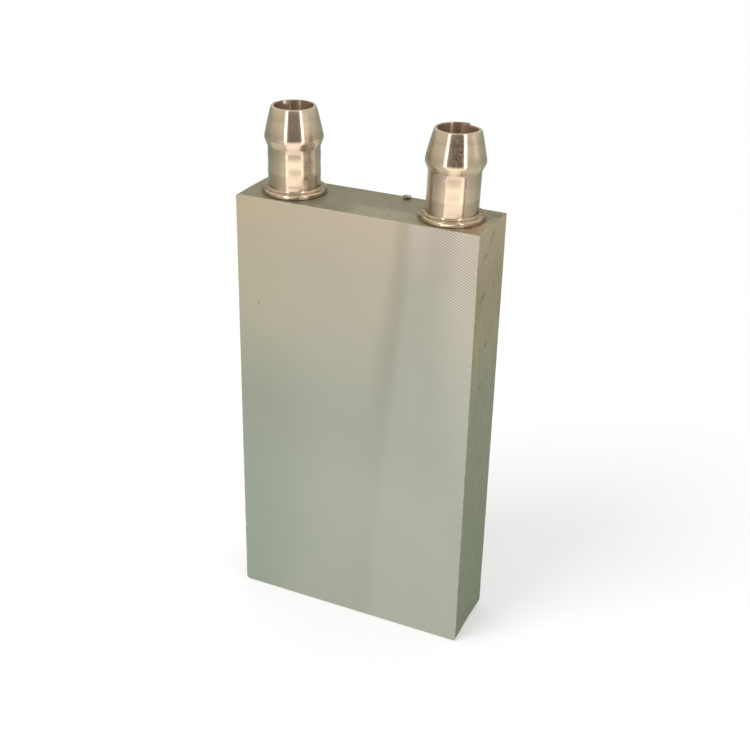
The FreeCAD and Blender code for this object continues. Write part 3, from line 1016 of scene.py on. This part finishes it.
def makeBrazeDrop(values):
    low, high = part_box("braze_bead")
    middle, half = (low + high) / 2, (high - low) / 2

    def shapeDrop(work):
        bmesh.ops.create_icosphere(work, subdivisions=5, radius=1.0)
        for vertex in work.verts:
            out = vertex.co.copy()
            flat = out * (0.86 + 0.14 * ripple(out * 2 + Vector((3, 1, 2)), 1.6, 2))
            flat.z = max(flat.z, -0.98)
            vertex.co = [middle[axis] + flat[axis] * half[axis] for axis in range(3)]

    drop = newPiece("brazeDrop", [], [], [makeLumpyMaterial("brazeDrop", values)])
    rework(drop.data, shapeDrop)
    smoothPiece(drop, 80)
    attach(drop, "root")
    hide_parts("braze_bead")


makeBrazeDrop(dropFinish)
print("sealant and braze drop built")

# studio: floor, world, lamps, reflectors

studio = {
    "worldDiffuse": 0.62, "floorTone": 0.8, "floorLift": 0.37, "plainFrom": 0.16, "plainTo": 0.34,
    "floorSide": 4.0, "floorGap": 0.00002, "panelTone": (1.0, 0.93, 0.98),
    "keyPlace": (-0.35, -0.55, 0.75), "keySize": 0.5, "keyPower": 3.4,
}


def seenDirectly(tree):
    # camera, mirror and glass rays
    path = put(tree, "LightPath")
    clear = maths("MAXIMUM", path["Is Camera Ray"], path["Is Glossy Ray"])
    return maths("MAXIMUM", clear, path["Is Transmission Ray"])


def makeWorld(values):
    world = bpy.data.worlds.new("studioWorld")
    world.use_nodes = True
    tree = world.node_tree
    tree.nodes.clear()
    strength = maths("MAXIMUM", seenDirectly(tree), values["worldDiffuse"])
    show(tree, put(tree, "Background", {"Color": (1, 1, 1, 1), "Strength": strength})[0], "OutputWorld")
    scene.world = world


def makeFloor(values):
    material, tree, point = newMaterial("paleFloor")
    plainness = slide(vectorMaths("LENGTH", point), values["plainFrom"], values["plainTo"])
    tone = values["floorTone"]
    matt = put(tree, "BsdfDiffuse", {"Color": (tone, tone, tone, 1)})[0]
    lift, plain = (put(tree, "Emission", {"Color": (1, 1, 1, 1), "Strength": strength})[0]
                   for strength in (values["floorLift"], 1.0))
    seen = join("MixShader", {0: plainness, 1: join("AddShader", {0: matt, 1: lift})[0], 2: plain})[0]
    show(tree, join("MixShader", {0: seenDirectly(tree), 1: matt, 2: seen})[0])
    side = values["floorSide"]
    floor = newPiece("paleFloor", [(-side, -side, 0), (side, -side, 0), (side, side, 0), (-side, side, 0)],
                     [(0, 1, 2, 3)], [material])
    floor.location.z = cadLow.z - values["floorGap"]


def makeKey(values):
    lamp = bpy.data.lights.new("keyLamp", "AREA")
    lamp.shape, lamp.size, lamp.energy = "SQUARE", values["keySize"], values["keyPower"]
    key = addObject("keyLamp", lamp)
    key.location = values["keyPlace"]
    aim(key, centre - key.location)
    key.visible_glossy = False


fittingsMiddle = Vector((centre.x, centre.y, blockHigh.z + 0.007))


def around(azimuth, elevation, reach, middle=fittingsMiddle):
    # a point seen from the fittings at an azimuth from the viewer and an elevation, in degrees
    turn = math.radians(cameraView["azimuth"] + azimuth)
    rise = math.tan(math.radians(elevation))
    return middle + Vector((math.sin(turn) * reach, -math.cos(turn) * reach, reach * rise))


def blend(value, stops):
    # tone at a value, from (value, tone) stops
    for (start, first), (end, second) in zip(stops, stops[1:]):
        if value <= end:
            share = fade(value, start, end)
            return tuple(a + (b - a) * share for a, b in zip(first, second))
    return stops[-1][1]


def makeCard(name, azimuths, elevations, reach, toneAt, spotScale=0.0):
    # a glowing sheet bent round the fittings, seen in reflections alone
    material, tree, point = newMaterial(name)
    glow = pointLabel(tree, "glow", "Color")
    if spotScale:
        glow = shade(glow, slide(cloud(point, spotScale), 0.3, 0.7, 0.6, 1.25))
    show(tree, join("Emission", {"Color": glow, "Strength": 1.0})[0])
    across, tall, vertices, faces, glows = max(4, round((azimuths[1] - azimuths[0]) / 4)), 12, [], [], []
    for k in range(across + 1):
        for j in range(tall + 1):
            azimuth = azimuths[0] + (azimuths[1] - azimuths[0]) * k / across
            elevation = elevations[0] + (elevations[1] - elevations[0]) * j / tall
            vertices.append(tuple(around(azimuth, elevation, reach)))
            glows += [*toneAt(azimuth, elevation), 1.0]
    for k in range(across):
        for j in range(tall):
            a = k * (tall + 1) + j
            faces.append((a, a + 1, a + tall + 2, a + tall + 1))
    card = newPiece(name, vertices, faces, [material])
    card.data.attributes.new("glow", "FLOAT_COLOR", "POINT").data.foreach_set("color", glows)
    card.visible_camera = card.visible_diffuse = card.visible_shadow = card.visible_transmission = False


cards = {
    "dark": ((-10, (0.42, 0.33, 0.35)), (20, (0.2, 0.155, 0.17))), "darkSpots": 55.0,
    "strip": (4.2, 4.4, 5.0), "slat": (0.12, 0.08, 0.06),
    "room": ((54, (1.0, 1.0, 1.0)), (80, (0.84, 0.87, 0.86)), (115, (0.59, 0.67, 0.64)),
             (180, (0.44, 0.56, 0.56)), (245, (0.48, 0.54, 0.52)), (280, (0.66, 0.66, 0.64)),
             (310, (1.0, 1.0, 1.0))),
}


def makeCards(values):
    makeCard("darkCard", (-30.2, 30.3), (0, 24), 0.12,
             lambda azimuth, elevation: blend(elevation, values["dark"]), values["darkSpots"])
    for name, azimuths in (("leftStrip", (-40.2, -30.2)), ("rightStrip", (30.3, 40.3))):
        makeCard(name, azimuths, (-10, 46), 0.12, lambda azimuth, elevation: values["strip"])
    for name, azimuths in (("leftSlat", (-41, -37)), ("rightSlat", (44, 48))):
        makeCard(name, azimuths, (-21, -10), 0.21, lambda azimuth, elevation: values["slat"])
    makeCard("roomCard", (54, 310), (-32, 4), 0.125,
             lambda azimuth, elevation: blend(azimuth, values["room"]))


def makePanel(piece, azimuths, elevations, reach, level):
    # a soft light on one side, for one turned fitting alone
    name = piece.name + "Panel" + str(round(-elevations[0]))
    low, high = Vector(piece.bound_box[0]), Vector(piece.bound_box[6])
    middle = Vector(((low.x + high.x) / 2, (low.y + high.y) / 2, fittingsMiddle.z))
    azimuth = (azimuths[0] + azimuths[1]) / 2
    first, last = (around(azimuth, elevation, reach, middle) for elevation in elevations)
    lamp = bpy.data.lights.new(name, "AREA")
    lamp.shape, lamp.size_y = "RECTANGLE", (last - first).length
    lamp.size = 2 * reach * math.tan(math.radians((azimuths[1] - azimuths[0]) / 2))
    lamp.energy = level * math.pi * lamp.size * lamp.size_y
    lamp.color = studio["panelTone"]
    panel = addObject(name, lamp)
    panel.location = (first + last) / 2
    towards = middle - panel.location
    towards.z = 0
    aim(panel, towards)
    panel.visible_diffuse = panel.visible_camera = False
    receivers = bpy.data.collections.new(name + "Receivers")
    receivers.objects.link(piece)
    panel.light_linking.receiver_collection = receivers


# lamps for one fitting alone: azimuths from the viewer, elevations, distance in metres, level
panels = [
    (inletFitting, (26, 40), (-48, -40), 0.0056, 0.55), (inletFitting, (12, 30), (-51.3, -49), 0.0056, 0.6),
    (inletFitting, (35, 58), (22, 45), 0.0075, 0.4), (outletFitting, (-30, 45), (-51.3, -50.5), 0.0056, 0.45),
    (outletFitting, (50, 67), (20, 46), 0.0075, 0.33),
]
for fitting, front, side in ((inletFitting, (-34, 42), (46, 82)), (outletFitting, (-39, 38), (-136, -96))):
    panels += [(fitting, front, (-27, -16), 0.15, 1.7), (fitting, front, (-79, -69), 0.013, 1.1),
               (fitting, front, (-69, -27), 0.03, 1.1), (fitting, side, (-42, 12), 0.0075, 0.35)]

makeWorld(studio)
makeFloor(studio)
makeKey(studio)
makeCards(cards)
for panel in panels:
    makePanel(*panel)
print("studio lit")

scene.view_settings.view_transform = "Standard"
